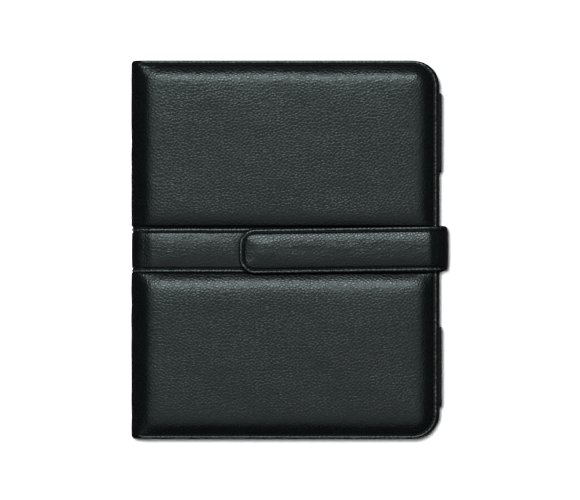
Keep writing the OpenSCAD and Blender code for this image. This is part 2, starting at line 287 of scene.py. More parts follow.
def shoulder(d):
    """Height of a panel d inside its foot: a steep side that rounds over into a slow crown"""
    spread = 1.9
    turn = np.log1p(np.exp((d - PAD_SHOULDER) / spread)) - math.log1p(math.exp(-PAD_SHOULDER / spread))
    return 0.55 * (d - spread * turn) + 1.2 * (1 - np.exp(-d / 13))


def panel_height(u, y, length, seed):
    """u is the distance from the end of the fold, negative on the fold"""
    d = np.maximum(panel_distance(u, y, length), 0)
    full = shoulder(d) * roll_share(u) * band_side_share(y)
    loose = 0.10 * waves(u, y, 48, seed) + 0.02 * waves(u, y, 16, seed + 1)
    pucker = 0.08 * waves(u, y, 7.0, seed + 2) * np.exp(-((d - 5) / 4) ** 2)
    free = smooth(d / 9) * smooth((u + ROLL) / 14) * smooth((np.abs(y) - CHANNEL_HALF) / 6)
    return full + (loose + pucker) * free


def channel_sink(s, y):
    """How deep the leather lies under the band where the band crosses the spine"""
    on_spine = smooth((6 - s) / 6) * smooth((s - WRAP_END + 6) / 6)
    return 0.3 * on_spine * smooth((CHANNEL_HALF + 1.4 - np.abs(y)) / 1.8)


def crevice(y):
    """The leather is pulled down under the band, up to a crease along the band's two edges"""
    return 0.75 * smooth((CHANNEL_HALF + 0.3 - np.abs(y)) / 0.9)


# painted shade in the crease where a panel meets the band
def crevice_shade_share(y):
    return smooth((CHANNEL_HALF + 0.9 - np.abs(y)) / 0.6)


def front_height(u, y):
    return panel_height(u, y, FRONT_LEN, 11) - channel_sink(u, y) - crevice(y)


def back_height(u, y):
    """The back's panels are pressed flat where the case rests on them"""
    free = panel_height(u, y, BACK_LEN, 23)
    pressed = PAD_RISE - 0.12 * np.log1p(np.exp((PAD_RISE - free) / 0.12))
    return pressed - channel_sink(WRAP_END - u, y) - crevice(y)


def snap_bump(s, y):
    """Round print of the snap in the strap over it"""
    x = X_STRAP_ARC - s
    r = np.hypot(x - X_SNAP, y + strap_offset(s) - Y_SNAP)
    return 0.26 * smooth((8.5 - r) / 5.0)


def tab_height(u, v):
    """Crown of the strap's tab between its stitches, v off its middle"""
    e = np.minimum(TAB_HALF - np.abs(v), TAB_LEN - u) - GROOVE_AT
    crown = 1.45 * (1 - (1 - np.clip(e / 12.6, 0, 1)) ** 3)
    loose = 0.05 * waves(u, v, 22, 41) + 0.03 * waves(u, v, 8, 42)
    return crown * smooth(e / 1.5) + loose * smooth(e / 4) + snap_bump(u, v) - strap_slack(u)


# ---------------- plates with a turned edge
EDGE_STEPS = np.array([3.6, 3.3, 3.0, 2.75, 2.55, 2.35, 2.1, 1.85, 1.6, 1.3, 1.0, 0.7, 0.4, 0.2,
                       0.06, 0.0])
INSET = EDGE_STEPS[0]
FINE = 3                # points of the border for each point of the grid


def plate_rows(half, corner, spacing):
    """Rows in y inside a plate's border: even on the straight part, even along the arc in the
    corners"""
    straight = half - corner
    middle = np.linspace(-straight, straight, max(round(2 * straight / spacing), 2) + 1)
    r = corner - INSET
    angles = np.linspace(0, np.pi / 2, round(r * np.pi / 2 / spacing) + 1)[1:]
    ends = straight + r * np.sin(angles)
    if half > 2 * CHANNEL_HALF:
        away = np.abs(np.abs(middle) - CHANNEL_HALF) > 1.9
        close = CHANNEL_HALF + np.array([-1.4, -0.9, -0.6, -0.3, 0.0, 0.3, 0.6, 1.0, 1.6])
        middle = np.sort(np.concatenate([middle[away], close, -close]))
    return np.concatenate([-ends[::-1], middle, ends])


def border_path(u, y, half, corner, length):
    """The border's inner line round a grid: out along its first row, up its last column and back
    along its last row, with FINE points for each of the grid's, and the outward normals"""
    pu = np.concatenate([u[0], u[1:, -1], u[-1, -2::-1]])
    py = np.concatenate([y[0], y[1:, -1], y[-1, -2::-1]])
    at = np.arange(len(pu))
    fine = np.linspace(0, len(pu) - 1, (len(pu) - 1) * FINE + 1)
    pu, py = np.interp(fine, at, pu), np.interp(fine, at, py)
    nu = np.clip(pu - (length - corner), 0, None)
    ny = py - np.clip(py, corner - half, half - corner)
    norm = np.hypot(nu, ny)
    straight_end = norm < 1e-6
    nu, ny = np.where(straight_end, 1, nu / np.maximum(norm, 1e-6)), ny / np.maximum(norm, 1e-6)
    cu, cy = pu - nu * norm, py - ny * norm
    return cu, cy, nu, ny


def plate(name, path, s_of_u, length, half, corner, spacing, height, depth, material,
          offset=None, rimmed=1.0, wall_top=RIM_DROP, sag=None):
    """A sheet with a stitched, turned edge as a closed solid: the grid inside the border, loops
    parallel to the outline over the border, down the edge and round under it, and an underside
    depth below, lowered by sag. u runs from the fold to the far end, which has two round corners"""
    rows = plate_rows(half, corner, spacing)
    over = np.maximum(np.abs(rows) - (half - corner), 0)
    reach = length - corner + np.sqrt(np.maximum((corner - INSET) ** 2 - over ** 2, 0))
    cols = round(length / spacing) + 1
    u = reach[:, None] * np.linspace(0, 1, cols)[None, :]
    y = np.repeat(rows[:, None], cols, axis=1)
    cu, cy, nu, ny = border_path(u, y, half, corner, length)
    run = np.hypot(np.diff(cu + nu * corner), np.diff(cy + ny * corner))
    along = np.concatenate([[0], np.cumsum(run)])
    along *= round(along[-1] / STITCH_PITCH) * STITCH_PITCH / along[-1]

    # painted shade in the crease beside the band
    crevice_shade = rimmed * crevice_shade_share(y) * (half > 2 * CHANNEL_HALF)
    parts = [(u, y, height(u, y), crevice_shade, 0 * u)]
    under = 0.5 * (depth - wall_top)
    levels = [(e, None) for e in EDGE_STEPS[1:]]
    levels += [(0.0, wall_top + 0.5 * under), (0.0, wall_top + under)]
    levels += [(under * (1 - math.cos(a)), depth - under * (1 - math.sin(a)))
               for a in np.linspace(0, np.pi / 2, 6)[1:]]
    for e, drop in levels:
        eu, ey = cu + nu * (corner - e), cy + ny * (corner - e)
        edge = height(eu, ey) + rimmed * rim_profile(e, along)
        low = 0 * eu if sag is None else sag(eu)
        level = edge if drop is None else 0 * eu - drop - low
        over = rimmed if drop is None else 0.0
        hem = rimmed * 0.7 * (drop is not None and 0 < e < 0.6 * under)
        # the seam value paints shade into the stitch groove; the rim value paints the rim lighter,
        # partly wear and partly a painted highlight
        parts.append((eu, ey, level, over * groove_shade_share(e) + 0 * eu,
                      over * rim_share(e) + hem + 0 * eu))
    if sag is not None:
        parts.append((u, y, -depth - sag(u), 0 * u, 0 * u))
    uu, yy, hh, seam, rim = [np.concatenate([v.ravel() for v in row]) for row in zip(*parts)]
    points, grain = over_path(path, s_of_u(uu), yy, hh, offset)
    faces = plate_faces(len(rows), cols, len(along), len(levels), sag is not None)
    return solid(name, points, faces, material, grain, seam, rim, 1 if sag else 2)


def grid_faces(grid, ring):
    """Faces of a plate's grid, and of the seam between its border and the ring round it"""
    quads = np.stack([grid[:-1, :-1], grid[:-1, 1:], grid[1:, 1:], grid[1:, :-1]], axis=-1)
    faces = quads.reshape(-1, 4).tolist()
    coarse = np.concatenate([grid[0], grid[1:, -1], grid[-1, -2::-1]])
    for k in range(len(coarse) - 1):
        faces.append([coarse[k], *ring[k * FINE:(k + 1) * FINE + 1], coarse[k + 1]])
    return faces


def plate_faces(rows, cols, ring_len, ring_count, sagging):
    grid = np.arange(rows * cols).reshape(rows, cols)
    first = rows * cols
    rings = first + np.arange(ring_count * ring_len).reshape(ring_count, ring_len)
    faces = grid_faces(grid, rings[0])
    quads = np.stack([rings[:-1, :-1], rings[1:, :-1], rings[1:, 1:], rings[:-1, 1:]], axis=-1)
    faces += quads.reshape(-1, 4).tolist()
    cut = list(rings[::-1, 0]) + list(grid[:, 0]) + list(rings[:, -1])
    if sagging:
        below = rings.size + first + grid
        faces += grid_faces(below, rings[-1])
        cut += list(below[::-1, 0])
    else:
        faces.append(rings[-1].tolist())
    faces.append(cut)
    return [[int(v) for v in face] for face in faces]


# ---------------- sweeps
def sweep(name, path, s, y, h, material, offset=None, seam=0.0, rim=0.0):
    """A closed solid from sections along a path. y and h hold one closed section a row"""
    count, size = h.shape
    s_grid = np.repeat(s[:, None], size, axis=1)
    y_grid = np.broadcast_to(y, h.shape)
    points, grain = over_path(path, s_grid, y_grid, h, offset)
    index = np.arange(count * size).reshape(count, size)
    after = np.roll(index, -1, axis=1)
    quads = np.stack([index[:-1], after[:-1], after[1:], index[1:]], axis=-1)
    faces = quads.reshape(-1, 4).tolist()
    faces += [index[0].tolist(), index[-1].tolist()]
    seam, rim = [np.broadcast_to(v, h.shape).ravel() for v in (seam, rim)]
    return solid(name, points, faces, material, grain, seam, rim, 2)


def strip_section(half, inner_rows, depth_steps=4):
    """Section of a strip with two turned edges: y, distance e inside the edge, and the place in
    the section, 0 on the outer face, 0 to 1 down the edge and 1 on the inner face"""
    edge = half - EDGE_STEPS[1:]
    outer = np.concatenate([-edge[::-1], inner_rows, edge])
    wall = np.linspace(0, 1, depth_steps + 1)[1:]
    inner = np.concatenate([[half - 0.5], inner_rows[::-1], [0.5 - half]])
    y = np.concatenate([outer, np.full(depth_steps, half), inner, np.full(depth_steps, -half)])
    down = np.concatenate([0 * outer, wall, 0 * inner + 1, wall[::-1]])
    return y, half - np.abs(y), down


def strip_heights(top, bottom, down, drop):
    """Heights of a section's points: top on the outer face, bottom on the inner face, and down
    the edge from drop below the path"""
    side = (down > 0) & (down < 1)
    wall = -drop + (bottom + drop) * down
    return np.where(side, wall, np.where(down == 0, top, bottom))


COVER_ROWS = plate_rows(HALF_H, CORNER_R, GRID)


def round_end(e, radius):
    """Drop of a surface that rounds off towards an edge"""
    return radius * (1 - np.sqrt(1 - np.clip(1 - e / radius, 0, 1) ** 2))


def wrap_stretch(name, s_from, s_to, steps, material):
    """Leather of the spine or of a fold, over the full height of the case"""
    y, e, down = strip_section(HALF_H, COVER_ROWS)
    s = np.linspace(s_from, s_to, steps + 1)
    ss, yy = s[:, None], y[None, :]
    free = smooth(-ss / 4) * smooth((ss - WRAP_END) / 4)
    crease = 0.12 * waves(ss * 2.2, yy, 17, 31) * smooth(e / 14)
    sink = channel_sink(ss, yy)
    front, back = front_height(ss, yy), back_height(WRAP_END - ss, yy)
    padding = np.where(ss > WRAP_END / 2, front, back) + sink
    rim = np.where(e < INSET - 1e-6, rim_profile(e, 0.0), 0.0) * (1 - free)
    top = padding + rim + free * crease - sink - free * round_end(e, 2.6)
    hem = TURNED_DEPTH + (SPINE_HEM - TURNED_DEPTH) * smooth(-ss / 6) * smooth((ss - WRAP_END) / 6)
    in_hem = smooth((4.6 - e) / 0.8)
    bottom = -(LEATHER_T + (hem - LEATHER_T) * in_hem) - sink * (1 - in_hem)
    h = strip_heights(top, bottom, down, RIM_DROP + 2.1 * free)
    # painted shade in the stitch groove and in the crease beside the band
    seam = np.maximum(groove_shade_share(e) * (1 - free), 0.7 * crevice_shade_share(y)) * (down == 0)
    return sweep(name, wrap_path, s, y, h, material, seam=seam,
                 rim=rim_share(e) * (1 - free) * (down == 0))


BAND_ROWS = np.linspace(INSET - BAND_HALF, BAND_HALF - INSET, 23)
TAB_ROWS = plate_rows(TAB_HALF, TIP_R, TAB_GRID)


def band_levels(s):
    """Bottom, edge and crown heights of the band at s"""
    front = smooth((s + 3) / 10)
    back = smooth((WRAP_END + 3 - s) / 10)
    bottom = -BAND_SINK + 0 * s
    edge = -0.45 + (1.1 + 0.45) * front + (Z_BACK_FACE + 0.45 - 0.25) * back
    tab = smooth((X_ARC + s - X_TIP + 7) / 9)
    thin = smooth((X_ARC + s - X_BAND_END + 5) / 4)
    edge = edge - 0.6 * thin
    crown = 0.3 * (1 - front - back) + front * (0.95 - 0.5 * tab) * (1 - thin) + 0.25 * back
    return bottom, edge, crown


def tab_outline(x, y):
    """Distance of a place on the front outside the outline of the strap's tab"""
    tip = X_TIP - TAB_LONGER
    off = np.abs(y - strap_offset(X_STRAP_ARC - x))
    du, dv = tip + TIP_R - x, off - (TAB_HALF - TIP_R)
    return np.hypot(np.maximum(du, 0), np.maximum(dv, 0)) + np.minimum(np.maximum(du, dv), 0) - TIP_R


def band_offset(s):
    return BAND_SHIFT + 0 * s


def band_stretch(name, s_from, s_to, steps, material):
    """Stretch of the band sewn round the covers"""
    y, e, down = strip_section(BAND_HALF, BAND_ROWS)
    s = np.linspace(s_from, s_to, steps + 1)
    bottom, edge, crown = [v[:, None] for v in band_levels(s)]
    inside = np.clip((e - GROOVE_AT) / (BAND_HALF - GROOVE_AT), 0, 1)
    dome = 1 - (1 - inside) ** 2.5
    loose = 0.07 * waves(s[:, None], y[None, :], 20, 51) * smooth((e - GROOVE_AT) / 5)
    press = np.where(s[:, None] < WRAP_END, 0.0, 1.0)
    top = edge + crown * dome + loose * press + rim_profile(e, s[:, None])
    h = strip_heights(top, bottom, down, RIM_DROP - edge)
    # painted shadow: the band is painted darker and rougher in a line round the strap's tab, where the
    # tab's shadow falls on it
    tab_shadow = smooth((1.5 - np.abs(tab_outline(X_ARC + s[:, None], y[None, :]))) / 0.6)
    tab_shadow = tab_shadow * smooth(s[:, None] / 5)
    return sweep(name, wrap_path, s, y, h, material, band_offset,
                 np.maximum(groove_shade_share(e), tab_shadow) * (down == 0),
                 rim_share(e) * (1 - tab_shadow) * (down == 0))


def strap_slack(s):
    """How far the strap lies inside its path: past the band's end it slopes down over the cover's
    edge, and then rolls down the fore edge in a wide arc. Below it rolls in a little again"""
    x, z, nx, nz = strap_path(s)
    cx, cz = X_FOLD - DRAW_IN - ROLL_R, Z_STRAP_TOP - ROLL_DROP
    along = (x - cx) * nx + (z - cz) * nz
    square = (x - cx) ** 2 + (z - cz) ** 2 - ROLL_R ** 2
    arc = along - np.sqrt(np.maximum(along ** 2 - square, 0.0))
    turn = math.atan(STRAP_SLOPE)
    slope_end = cx + ROLL_R * math.sin(turn)
    end_drop = Z_STRAP_TOP - cz - ROLL_R * math.cos(turn)
    start = slope_end - end_drop / STRAP_SLOPE
    slope = STRAP_SLOPE * 0.8 * np.log1p(np.exp(np.minimum((x - start) / 0.8, 30)))
    high = np.where((s >= 0) & (x < slope_end), slope, arc)
    high = np.where(s > STRAP_LOW + 2, high, DRAW_IN)
    high = np.where((s <= -STRAP_FOLD) & (z < cz), DRAW_IN, high)
    low = np.exp(-((s - STRAP_START - 1.0) / 5.0) ** 2) * smooth((s - STRAP_START) / 3)
    return high * smooth((s - STRAP_START) / STRAP_FOLD) + 1.0 * low


def strap_stretch(name, s_from, s_to, steps, material):
    """Outer leather of a stretch of the strap between the back band and the tab"""
    y, e, down = strip_section(TAB_HALF, TAB_ROWS)
    s = np.linspace(s_from, s_to, steps + 1)[:, None]
    on_edge = smooth(-s / 6) * smooth((s - STRAP_START) / 6)
    crown = tab_height(0 * s, y[None, :]) + strap_slack(0 * s)
    crown = crown * (1 - 0.8 * on_edge) * smooth((s - STRAP_START) / 8)
    top = crown + rim_profile(e, s) - strap_slack(s) - on_edge * round_end(e, 2.4)
    drop = RIM_DROP + strap_slack(s) + 0.6 * on_edge
    h = strip_heights(top, -STRAP_LEATHER - strap_slack(s), down, drop)
    return sweep(name, strap_path, s[:, 0], y, h, material, strap_offset,
                 groove_shade_share(e) * (down == 0), rim_share(e) * (1 - 0.8 * on_edge) * (down == 0))


def lining_stretch(name, path, s, half, top, bottom, material, offset=None):
    """Thin lining strip with soft edges, between two heights that may change along it"""
    rows = np.linspace(-half + 0.6, half - 0.6, max(round(2 * half / 3), 4))
    y = np.concatenate([[-half], rows, [half], [half], rows[::-1], [-half]])
    upper = np.concatenate([[0.25], 0 * rows, [0.25], [0.75], 0 * rows + 1, [0.75]])
    s = np.asarray(s)
    top, bottom = np.broadcast_to(top, s.shape), np.broadcast_to(bottom, s.shape)
    h = top[:, None] + (bottom - top)[:, None] * upper[None, :]
    return sweep(name, path, s, y, h, material, offset)


# ---------------- stitches
def stitches(name, points, ends, normals, body):
    """A row of stitches: each a short round thread whose ends dive into the leather. ends are
    points a little before and after each one"""
    turns = 6
    tangents = ends[1] - ends[0]
    tangents /= np.linalg.norm(tangents, axis=1)[:, None]
    share = np.array([-0.5, -0.42, -0.2, 0.0, 0.2, 0.42, 0.5])
    sizes = np.array([0.25, 0.8, 1.0, 1.0, 1.0, 0.8, 0.25]) * THREAD_R
    dips = np.array([-0.42, -0.22, -0.04, 0.0, -0.04, -0.22, -0.42])
    side = np.cross(normals, tangents)
    around = np.linspace(0, 2 * np.pi, turns, endpoint=False)
    ring = np.cos(around)[None, None, :, None] * side[:, None, None, :]
    ring = ring + np.sin(around)[None, None, :, None] * normals[:, None, None, :]
    line = points[:, None, :] + share[None, :, None] * STITCH_LEN * tangents[:, None, :]
    line = line + dips[None, :, None] * normals[:, None, :]
    verts = line[:, :, None, :] + ring * sizes[None, :, None, None]
    index = np.arange(verts[..., 0].size).reshape(verts.shape[:3])
    after = np.roll(index, -1, axis=2)
    quads = np.stack([index[:, :-1], after[:, :-1], after[:, 1:], index[:, 1:]], axis=-1)
    faces = quads.reshape(-1, 4).tolist()
    faces += index[:, 0].tolist() + index[:, -1, ::-1].tolist()
    piece = solid(name, verts.reshape(-1, 3), faces, thread)
    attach(piece, body)
    return piece


def outline(length, half, corner, inset):
    """Distance along a plate's outline from the fold round to the fold again, and the points
    (u, y) inset inside it"""
    turn = np.linspace(-np.pi / 2, 0, 24)
    cu = np.concatenate([[0], length - corner + 0 * turn, length - corner + 0 * turn, [0]])
    cy = np.concatenate([[corner - half], corner - half + 0 * turn, half - corner + 0 * turn,
                         [half - corner]])
    angle = np.concatenate([[-np.pi / 2], turn, turn + np.pi / 2, [np.pi / 2]])
    outer = np.stack([cu + corner * np.cos(angle), cy + corner * np.sin(angle)], axis=1)
    inner = np.stack([cu + (corner - inset) * np.cos(angle),
                      cy + (corner - inset) * np.sin(angle)], axis=1)
    steps = np.hypot(*np.diff(outer, axis=0).T)
    return np.concatenate([[0], np.cumsum(steps)]), inner


def along_line(along, line, at):
    return np.stack([np.interp(at, along, line[:, k]) for k in range(line.shape[1])], axis=1)


def sewn(name, path, s_of_u, along, line, at, height, body, offset=None):
    """Stitches at places along a line of (u, y), height over a path"""
    ends = []
    for shift in (-STITCH_NEAR, 0.0, STITCH_NEAR):
        u, y = along_line(along, line, at + shift).T
        ends.append(over_path(path, s_of_u(u), y, height, offset)[0])
    u, y = along_line(along, line, at).T
    _, _, nx, nz = path(s_of_u(u))
    normals = np.stack([nx, 0 * nx, nz], axis=1)
    return stitches(name, ends[1], (ends[0], ends[2]), normals, body)


def even_places(along):
    """Places of whole stitches along a line, about a pitch apart"""
    count = round(along[-1] / STITCH_PITCH)
    return (np.arange(count) + 0.5) * along[-1] / count


def sewn_outline(name, path, s_of_u, length, half, corner, height, body, offset=None, skip=0.0):
    along, line = outline(length, half, corner, GROOVE_AT)
    at = even_places(along)
    at = at[(at > skip) & (at < along[-1] - skip)]
    return sewn(name, path, s_of_u, along, line, at, height, body, offset)


def sewn_sides(name, path, s_from, s_to, half, height, body, offset):
    """Stitches along both edges of a strip"""
    first = math.ceil(s_from / STITCH_PITCH)
    at = (np.arange(first, math.floor(s_to / STITCH_PITCH)) + 0.5) * STITCH_PITCH
    for side, label in ((-1, "lower"), (1, "upper")):
        line = np.array([[s_from, side * (half - GROOVE_AT)], [s_to, side * (half - GROOVE_AT)]])
        along = np.array([s_from, s_to])
        sewn(name + "_" + label, path, on_front, along, line, at, height, body, offset)


def sewn_frame(name, low, high, corner, z, up, body, inset=2.4):
    """Stitches all the way round a flat rectangle with round corners"""
    a = np.linspace(0, np.pi / 2, 10)
    parts = []
    for k, (sx, sy) in enumerate(((1, 1), (-1, 1), (-1, -1), (1, -1))):
        x, y = (high if sx > 0 else low)[0], (high if sy > 0 else low)[1]
        angle = a + k * np.pi / 2
        r = corner - inset
        parts.append(np.stack([x - sx * corner + r * np.cos(angle),
                               y - sy * corner + r * np.sin(angle)], axis=1))
    line = np.concatenate(parts + [parts[0][:1]])
    line = np.concatenate([line, np.full((len(line), 1), z)], axis=1)
    along = np.concatenate([[0], np.cumsum(np.hypot(*np.diff(line[:, :2], axis=0).T))])
    at = even_places(along)
    before, points, after = [along_line(along, line, np.clip(at + d, 0, along[-1]))
                             for d in (-STITCH_NEAR, 0.0, STITCH_NEAR)]
    normals = np.tile([0.0, 0.0, float(up)], (len(at), 1))
    return stitches(name, points, (before, after), normals, body)


# ---------------- materials
def new_material(name):
    material = bpy.data.materials.new(name)
    material.use_nodes = True
    return material, material.node_tree


def attribute_node(tree, name):
    node = tree.nodes.new("ShaderNodeAttribute")
    node.attribute_name = name
    return node


def maths(tree, operation, *inputs, kind="ShaderNodeMath"):
    node = tree.nodes.new(kind)
    node.operation = operation
    for slot, value in zip(node.inputs, inputs):
        if isinstance(value, bpy.types.NodeSocket):
            tree.links.new(value, slot)
        else:
            slot.default_value = value
    return node.outputs[0]


def ramp(tree, source, stops):
    node = tree.nodes.new("ShaderNodeValToRGB")
    elements = node.color_ramp.elements
    while len(elements) < len(stops):
        elements.new(0.5)
    for element, (place, colour) in zip(elements, stops):
        element.position = place
        element.color = (*colour, 1)
    tree.links.new(source, node.inputs[0])
    return node.outputs[0]


def noise_node(tree, vector, scale, detail=2.0):
    noise = tree.nodes.new("ShaderNodeTexNoise")
    noise.inputs["Scale"].default_value = scale
    noise.inputs["Detail"].default_value = detail
    tree.links.new(vector, noise.inputs["Vector"])
    return noise


def grain_vector(tree, scale, distort):
    """Grain coordinates in millimetres, turned off the edges' direction and a little distorted so
    that the pebbles look natural"""
    turned = tree.nodes.new("ShaderNodeMapping")
    turned.inputs["Rotation"].default_value = (0.0, 0.0, GRAIN_TURN)
    tree.links.new(attribute_node(tree, "grain_mm").outputs["Vector"], turned.inputs["Vector"])
    shift = noise_node(tree, turned.outputs["Vector"], scale).outputs["Color"]
    kind = "ShaderNodeVectorMath"
    shift = maths(tree, "SUBTRACT", shift, (0.5, 0.5, 0.5), kind=kind)
    shift = maths(tree, "SCALE", shift, (0, 0, 0), (0, 0, 0), distort, kind=kind)
    return maths(tree, "ADD", turned.outputs["Vector"], shift, kind=kind)


def noise_value(tree, vector, scale, detail=2.0):
    return noise_node(tree, vector, scale, detail).outputs["Fac"]


def pebbles(tree, vector, cell_mm, feature):
    """Pebbles of the leather's grain. The same cells come out for every feature"""
    cells = tree.nodes.new("ShaderNodeTexVoronoi")
    cells.feature = feature
    cells.inputs["Scale"].default_value = 1 / cell_mm
    cells.inputs["Randomness"].default_value = SCATTER
    tree.links.new(vector, cells.inputs["Vector"])
    return cells.outputs


def add_bump(tree, shader, height, bump_mm):
    bump = tree.nodes.new("ShaderNodeBump")
    bump.inputs["Distance"].default_value = bump_mm * MM
    tree.links.new(height, bump.inputs["Height"])
    tree.links.new(bump.outputs[0], shader.inputs["Normal"])
    return bump


def leather(name, dark, light, worn_highlight, roughness, bump_mm, cell_mm):
    """Pebbled leather: rounded pebbles with fine creases between them, with painted shade in the
    creases and in the seams, and on the turned rims smoother, shinier and lighter, partly from wear
    and partly as a painted highlight"""
    material, tree = new_material(name)
    shader = tree.nodes["Principled BSDF"]

    def calc(operation, *inputs):
        return maths(tree, operation, *inputs)

    vector = grain_vector(tree, 0.5, 0.6)
    distance = pebbles(tree, vector, cell_mm, "DISTANCE_TO_EDGE")["Distance"]
    pebble = ramp(tree, distance, [(0.0, (0, 0, 0)), (0.12, (0.45, 0.45, 0.45)),
                                   (0.3, (0.85, 0.85, 0.85)), (0.5, (1, 1, 1))])
    own = tree.nodes.new("ShaderNodeSeparateColor")
    tree.links.new(pebbles(tree, vector, cell_mm, "F1")["Color"], own.inputs[0])
    own = own.outputs[0]
    dome = calc("MULTIPLY", pebble, calc("MULTIPLY_ADD", own, 0.06, 0.97))
    blobs = noise_value(tree, vector, 0.9 / cell_mm, 0.5)
    fine = noise_value(tree, vector, 2.2, 1.0)
    broad = noise_value(tree, vector, 0.045, 2.0)
    seam = attribute_node(tree, "seam").outputs["Fac"]
    rim = attribute_node(tree, "rim").outputs["Fac"]
    height = calc("MULTIPLY_ADD", blobs, 0.04, dome)
    height = calc("MULTIPLY_ADD", fine, 0.05, height)
    bump = add_bump(tree, shader, height, bump_mm)
    tree.links.new(calc("MULTIPLY_ADD", rim, -0.75, 1.0), bump.inputs["Strength"])
    # base colour: random variation over the pebbles, with painted shade in the creases between them
    tone_and_shade = calc("MULTIPLY", pebble, calc("ADD", broad, 0.35))
    # painted shade in the seams, in the creases beside the band and round the strap's tab
    tone_and_shade = calc("MULTIPLY", tone_and_shade, calc("SUBTRACT", 1.0, seam))
    # the rims are painted lighter: partly wear, partly a painted highlight along the bead
    tone_and_shade = calc("MULTIPLY_ADD", rim, 0.5, calc("MULTIPLY", tone_and_shade, 0.5))
    tree.links.new(ramp(tree, tone_and_shade, [(0.0, dark), (0.5, light), (1.0, worn_highlight)]),
              shader.inputs["Base Color"])
    crease = calc("SUBTRACT", 1.0, calc("MULTIPLY", pebble, 0.55))
    crease = calc("MULTIPLY", crease, calc("SUBTRACT", 1.0, rim))
    gloss = calc("MULTIPLY_ADD", broad, 0.03, roughness - 0.185)
    for source, share in ((crease, 0.22), (own, 0.02), (rim, 0.06), (seam, 0.3)):
        gloss = calc("MULTIPLY_ADD", source, share, gloss)
    tree.links.new(gloss, shader.inputs["Roughness"])
    shader.inputs["Specular IOR Level"].default_value = 0.5
    shader.inputs["Specular Tint"].default_value = (0.83, 1.0, 1.0, 1.0)
    return material


def noise_material(name, dark, light, roughness, scale, bump_mm, metallic=0.0, gloss=0.5):
    material, tree = new_material(name)
    shader = tree.nodes["Principled BSDF"]
    place = tree.nodes.new("ShaderNodeTexCoord").outputs["Object"]
    value = noise_value(tree, place, scale / MM, 3.0)
    tree.links.new(ramp(tree, value, [(0.3, dark), (0.7, light)]), shader.inputs["Base Color"])
    add_bump(tree, shader, value, bump_mm)
    shader.inputs["Roughness"].default_value = roughness
    shader.inputs["Metallic"].default_value = metallic
    shader.inputs["Specular IOR Level"].default_value = gloss
    return material


# leather colours: the dark end is the painted shade in creases and seams, and the rims' colour is
# partly wear and partly a painted highlight
LEATHER_DARK = (0.0015, 0.0020, 0.0020)
LEATHER_LIGHT = (0.0060, 0.0075, 0.0075)
LEATHER_WORN_HIGHLIGHT = (0.1300, 0.1520, 0.1520)
LEATHER_LOOK = (LEATHER_DARK, LEATHER_LIGHT, LEATHER_WORN_HIGHLIGHT, 0.3, 0.095, 2.1)
cover_leather = leather("cover_leather", *LEATHER_LOOK)
strap_leather = leather("strap_leather", *LEATHER_LOOK)
inner_leather = noise_material("inner_leather", (0.003, 0.0036, 0.0036), (0.008, 0.009, 0.009),
                               0.55, 0.9, 0.08, 0.0, 0.16)
lining = noise_material("lining_cloth", (0.004, 0.0045, 0.005), (0.011, 0.012, 0.013), 0.85,
                        1.6, 0.06)
board = noise_material("grey_board", (0.2, 0.19, 0.17), (0.3, 0.28, 0.25), 0.9, 0.8, 0.03)
foam = noise_material("foam_sheet", (0.3, 0.3, 0.29), (0.4, 0.4, 0.38), 0.95, 1.2, 0.1)
metal = noise_material("snap_steel", (0.42, 0.42, 0.41), (0.55, 0.55, 0.54), 0.28, 3.0, 0.005,
                       1.0)
thread = noise_material("dark_thread", (0.008, 0.009, 0.010), (0.018, 0.02, 0.021), 0.6, 6.0,
                        0.05)


# ---------------- the case
def on_front(u):
    return np.asarray(u, float)


def on_back(u):
    return WRAP_END - np.asarray(u, float)


def mid(path, s):
    x, z, _, _ = path(np.array([s]))
    return float(x[0]), float(z[0])


def bend_between(piece, a, b, path, s_a, s_b):
    """Bakes a piece's transform into its mesh, without bending it. The bodies a and b are not used"""
    (xa, za), (xb, zb) = mid(path, s_a), mid(path, s_b)
    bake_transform(piece)


def place(piece, bodies, ends, slot, *nodes):
    """Rides a piece on its body; with two bodies and ends (path, from, to) it only bakes the piece's
    transform. It hides the CAD nodes that the piece replaces, and slot is not used"""
    if len(bodies) == 1:
        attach(piece, bodies[0])
    else:
        bend_between(piece, *bodies, *ends)
    if nodes:
        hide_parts(*nodes)


def make_stretches(make, material, slot, path, rows):
    """Stretches of one strip, each with its name, ends, number of steps, bodies and CAD nodes"""
    for name, s_from, s_to, steps, bodies, nodes in rows:
        piece = make(name, s_from, s_to, steps, material)
        place(piece, bodies, (path, s_from, s_to), slot, *nodes)


def make_covers():
    for side, s_of_u, length, height in (("front", on_front, FRONT_LEN, front_height),
                                         ("back", on_back, BACK_LEN, back_height)):
        piece = plate(side + "_cover_skin", wrap_path, s_of_u, length, HALF_H, CORNER_R, GRID,
                      height, TURNED_DEPTH, cover_leather)
        place(piece, (side + "_cover",), (), "cover_leather", side + "_leather",
              side + "_foam_upper", side + "_foam_lower")


def make_spine():
    make_stretches(wrap_stretch, cover_leather, "cover_leather", wrap_path, (
        ("high_fold_skin", -FOLD_LEN, 0.0, 32, ("spine", "front_cover"), ()),
        ("spine_skin", SPINE_FROM, -FOLD_LEN, 6, ("spine",), ("spine_leather",)),
        ("low_fold_skin", WRAP_END, SPINE_FROM, 32, ("back_cover", "spine"), ())))


def make_band():
    back_from = WRAP_END - (X_STRAP_ARC - X_ARC)
    make_stretches(band_stretch, strap_leather, "strap_leather", wrap_path, (
        ("front_band_skin", 0.0, X_BAND_END - X_ARC, 390, ("front_cover",), ("front_band",)),
        ("high_fold_band", -FOLD_LEN, 0.0, 26, ("spine", "front_cover"), ()),
        ("spine_band_skin", SPINE_FROM, -FOLD_LEN, 14, ("spine",), ("spine_band",)),
        ("low_fold_band", WRAP_END, SPINE_FROM, 26, ("back_cover", "spine"), ()),
        ("back_band_skin", back_from, WRAP_END, 390, ("back_cover",), ("back_band",))))


